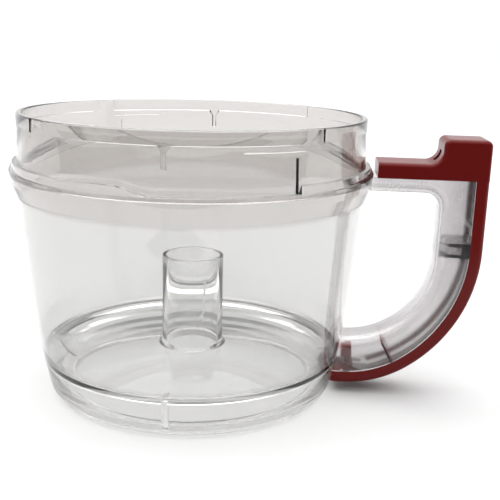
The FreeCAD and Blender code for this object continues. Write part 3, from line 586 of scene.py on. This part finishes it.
grip_rings = [channel_ring(p, m, palm_round, lead=weld_gap)
              for p, m in zip(palm_path, seam_path)]
grip_rings[0] = fitted_to_bowl(grip_rings[0])
grip_rings[-1] = fitted_to_bowl(grip_rings[-1])
grip = grid_piece("clear_grip", grip_rings)
around = len(grip_rings[0])
capped(grip, around)
for face in grip.data.polygons[:around * (len(grip_rings) - 1)]:
    face.material_index = int(face.index % around >= around // 2)
smooth(grip)
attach(grip, "bowl")
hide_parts("handle_grip")

# Painted shade: both faces of the grip get a grey tint for the dark reflections inside the channel
grip_outside = plastic("clear_grip_plastic", (0.86, 0.845, 0.85), (0.82, 0.805, 0.81), 0.03, 0.4,
                       0.4, 0.02, 0.25, Transmission_Weight=1.0, IOR=1.57)
grip_inside = plastic("blasted_clear_plastic", (0.76, 0.745, 0.75), (0.68, 0.665, 0.67), 0.25,
                      0.2, 0.4, 0.3, 0.3, Transmission_Weight=1.0, IOR=1.57)
# Painted shade: the inside is tinted darker still from 148 to 168 mm out from the bowl's axis,
# under the cover and strip
painted_shade_beyond(grip_inside, (1, 0, 0), 0.148, 0.168, (0.72, 0.71, 0.715))
grip.data.materials.append(grip_outside)
grip.data.materials.append(grip_inside)
grip.visible_shadow = False

# ---------------------------------------------------------------------------- red back strip
# U-shaped strip in red gloss plastic that closes the back of the grip and curves down to the
# foot, snapped on along the seam. A hole in its tail takes the bush of the switch pin.

strip_round, heel_x, tail_x, tail_low = 3.2, 93.5, 91.0, 6.6
seam_low = back_bend["low"] + seam_depth
bush_x, bush_r, bush_z, drill_depth = 101.5, 4.02, 7.5, 6.0
back_path = run((back_bend["reach"], seam_top), (back_bend["reach"], back_bend["knee"]), 10)
back_path += bend_points(0, 36, **back_bend)
back_path += [Vector((heel_x, back_bend["low"])), Vector((tail_x, tail_low))]
mouth_path = run((seam_x, seam_top), (seam_x, back_bend["knee"]), 10)
mouth_path += bend_points(seam_depth, 36, **back_bend)
mouth_path += [Vector((heel_x, seam_low)), Vector((tail_x, seam_low))]
strip_rings = [channel_ring(p, m, strip_round) for p, m in zip(back_path, mouth_path)]
strip_rings[-1] = fitted_to_bowl(strip_rings[-1])
strip = grid_piece("red_back_strip", strip_rings)
capped(strip, len(strip_rings[0]))
smooth(strip)
bpy.ops.mesh.primitive_cylinder_add(vertices=48, radius=bush_r * mm, depth=drill_depth * mm,
                                    location=(bush_x * mm, 0, bush_z * mm))
drill = bpy.context.object
bore = strip.modifiers.new("bush_hole", "BOOLEAN")
bore.object = drill
bored = bpy.data.meshes.new_from_object(
    strip.evaluated_get(bpy.context.evaluated_depsgraph_get()))
strip.modifiers.clear()
strip.data = bored
bpy.data.objects.remove(drill)
smooth(strip)
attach(strip, "bowl")
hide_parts("back_strip")

red_plastic = plastic("red_plastic", (0.12, 0.0055, 0.0045), (0.104, 0.005, 0.004), 0.2, 0.4,
                      0.3, 0.1, 0.12, Specular_IOR_Level=0.16)
strip.data.materials.append(red_plastic)

# ---------------------------------------------------------------------------- red cover
# Gloss red cover of the handle's arm with its raised block, pressed down over the clear channel.
# A slot in the block's face lets the lid's tongue in.

def finish_of(node_name, material):
    """Give a kept CAD piece its material in place of the plain one."""
    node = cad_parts[node_name]
    node.data.materials.clear()
    node.data.materials.append(material)


finish_of("handle_cover", red_plastic)

# ---------------------------------------------------------------------------- slider and track
# Acetal slide that the lid's tongue pushes back, and the block it runs in. Both are moulded dry:
# the bearing faces are matt, with drag lines where one rides in the other.

white_acetal = plastic("white_acetal", (0.75, 0.74, 0.7), (0.7, 0.69, 0.65), 0.38, 0.7, 0.2,
                       0.15, 0.2, Subsurface_Weight=0.15, Subsurface_Scale=0.002)
grey_acetal = plastic("grey_acetal", (0.42, 0.42, 0.41), (0.36, 0.36, 0.355), 0.45, 0.6, 0.2,
                      0.15, 0.2)
finish_of("interlock_slider", white_acetal)
finish_of("slider_track", grey_acetal)

# ---------------------------------------------------------------------------- track screws
# Two zinc plated self-tapping screws that pull the track up against the cover. The plating is
# bright with a slight yellow cast and gets scuffed round the drive.

screw_zinc = plastic("zinc_plate", (0.62, 0.61, 0.57), (0.5, 0.5, 0.49), 0.24, 0.9, 0.3, 0.4,
                     0.3, Metallic=1.0)
finish_of("track_screws", screw_zinc)

# ---------------------------------------------------------------------------- upper rod and washer
# Upright push rod in acetal with a wedge head under the slider, and the turned steel washer that
# passes the spring's force to it. The washer keeps its fine turning marks.

finish_of("upper_push_rod", white_acetal)
washer_steel = plastic("washer_steel", (0.56, 0.56, 0.57), (0.48, 0.48, 0.49), 0.28, 0.8, 0.1,
                       0.5, 0.35, Metallic=1.0, Anisotropic=0.6)
finish_of("spring_washer", washer_steel)

# ---------------------------------------------------------------------------- rod spring
# Cold-wound spring of hard drawn steel wire between the guide plate and the washer: eleven open
# coils and a closed one at each end. Oil from the winding leaves it darker than the washer.

spring_x, spring_low, spring_high = 174.3, 112.0, 144.5
coil_r, wire_r, open_coils, coil_steps, wire_sides = 2.35, 0.25, 11, 28, 10


def coil_height(coil):
    """Height of the wire's middle after so many coils; the first and the last lie closed."""
    low, high = spring_low + wire_r, spring_high - wire_r
    rise = (high - low - 4 * wire_r) / open_coils
    if coil < 1:
        return low + 2 * wire_r * coil
    if coil > open_coils + 1:
        return high - 2 * wire_r * (open_coils + 2 - coil)
    return low + 2 * wire_r + rise * (coil - 1)


spring_rings = []
for k in range((open_coils + 2) * coil_steps + 1):
    turned_by = 2 * math.pi * k / coil_steps
    middle = coil_height(k / coil_steps)
    ring = []
    for side_number in range(wire_sides):
        a = 2 * math.pi * side_number / wire_sides
        out = coil_r + wire_r * math.cos(a)
        ring.append((spring_x + out * math.cos(turned_by), out * math.sin(turned_by),
                     middle + wire_r * math.sin(a)))
    spring_rings.append(ring)
spring = grid_piece("wound_spring", spring_rings)
capped(spring, wire_sides)
smooth(spring)
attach(spring, "bowl")
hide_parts("rod_spring")
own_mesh(spring)
spring_wire = plastic("spring_wire", (0.4, 0.4, 0.41), (0.3, 0.3, 0.31), 0.3, 0.5, 0.2, 0.3, 0.3,
                      Metallic=1.0)
spring.data.materials.append(spring_wire)

# ---------------------------------------------------------------------------- guides
# Three cross pieces that keep the rods in line: the spring's seat at the top, a frosted one at
# mid grip, and a thin red one near the foot. They are pressed into the channel's ribs.

frosted_plastic = plastic("frosted_plastic", (0.93, 0.92, 0.92), (0.88, 0.87, 0.87), 0.25, 0.4,
                          0.3, 0.3, 0.3, Transmission_Weight=0.95, IOR=1.45)
finish_of("upper_guide", grey_acetal)
finish_of("middle_guide", frosted_plastic)
finish_of("lower_guide", red_plastic)

# ---------------------------------------------------------------------------- lower rod
# Bowed push rod in grey acetal that slides round inside the back strip. Its forked finger rides
# over the switch pin's ramp, and long use polishes its outer side.

rod_acetal = plastic("rod_acetal", (0.55, 0.545, 0.53), (0.48, 0.475, 0.46), 0.4, 0.8, 0.2, 0.15,
                     0.2)
finish_of("lower_push_rod", rod_acetal)

# ---------------------------------------------------------------------------- switch pin and bush
# Red pin with a ramped head at the handle's foot, which presses the switch in the base, and the
# small acetal bush that it slides in. Both are moulded and left as they come.

finish_of("switch_pin", red_plastic)
finish_of("pin_bush", white_acetal)
